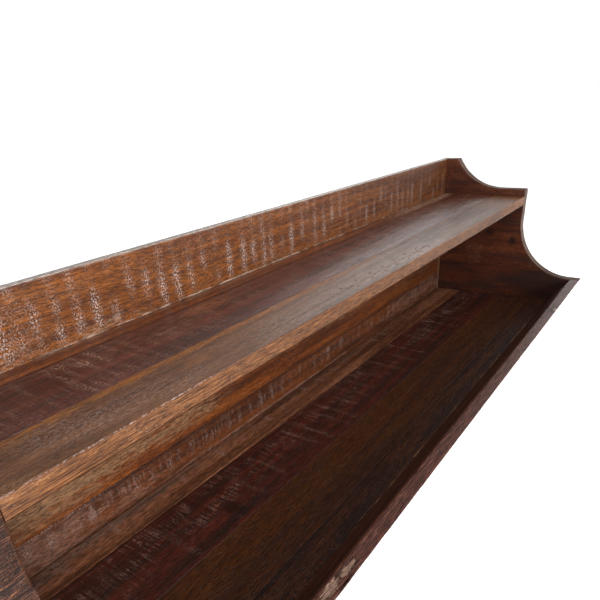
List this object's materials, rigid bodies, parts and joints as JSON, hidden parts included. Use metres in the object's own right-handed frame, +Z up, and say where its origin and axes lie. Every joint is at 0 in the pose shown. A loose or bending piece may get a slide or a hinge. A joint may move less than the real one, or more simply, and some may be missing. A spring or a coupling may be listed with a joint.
{
  "type": "wall shelf",
  "caption": "Two-level wall shelf of varnished reclaimed boards: an open shelf with a back rail over a deeper tray with an outward-leaning front board and hollow-curved ends.",
  "frame": {"origin": "middle of the flat underside's outline, at the lowest point, half way along and half way between the wall face and the tray's front", "axes": "+X along the shelf to the right as seen from the front, +Y to the wall, +Z up"},
  "size_m": [1.2, 0.3234, 0.31],
  "materials": {
    "varnished_end": "clear satin varnish over reclaimed dark brown hardwood, boards laid level",
    "varnished_back": "clear satin varnish over reclaimed orange brown hardwood with saw marks",
    "varnished_shelf": "clear satin varnish over reclaimed red and grey brown hardwood",
    "varnished_tray": "clear satin varnish over reclaimed dark red brown hardwood",
    "varnished_front_board": "clear satin varnish over reclaimed red brown hardwood",
    "dowel_beech": "plain beech dowel, glued in",
    "zinc_steel": "bright zinc plated steel",
    "nail_steel": "dull grey steel nail"
  },
  "bodies": {
    "root": {"left_side_bottom_board": "varnished_end", "left_side_lower_board": "varnished_end", "left_side_upper_board": "varnished_end", "left_side_top_board": "varnished_end", "right_side_bottom_board": "varnished_end", "right_side_lower_board": "varnished_end", "right_side_upper_board": "varnished_end", "right_side_top_board": "varnished_end", "back_bottom_board": "varnished_back", "back_middle_board": "varnished_back", "back_top_board": "varnished_back", "upper_shelf_rear_board": "varnished_shelf", "upper_shelf_middle_board": "varnished_shelf", "upper_shelf_front_board": "varnished_shelf", "tray_floor_rear_board": "varnished_tray", "tray_floor_red_board": "varnished_tray", "tray_floor_brown_board": "varnished_tray", "tray_floor_front_board": "varnished_tray", "front_board": "varnished_front_board", "left_upper_shelf_dowels": "dowel_beech", "left_tray_floor_dowels": "dowel_beech", "left_back_dowels": "dowel_beech", "left_front_board_dowels": "dowel_beech", "right_upper_shelf_dowels": "dowel_beech", "right_tray_floor_dowels": "dowel_beech", "right_back_dowels": "dowel_beech", "right_front_board_dowels": "dowel_beech", "upper_shelf_screws": "zinc_steel", "tray_floor_screws": "zinc_steel", "front_board_nails": "nail_steel", "left_hanger_plate": "zinc_steel", "left_hanger_screws": "zinc_steel", "right_hanger_plate": "zinc_steel", "right_hanger_screws": "zinc_steel"}
  },
  "joints": []
}
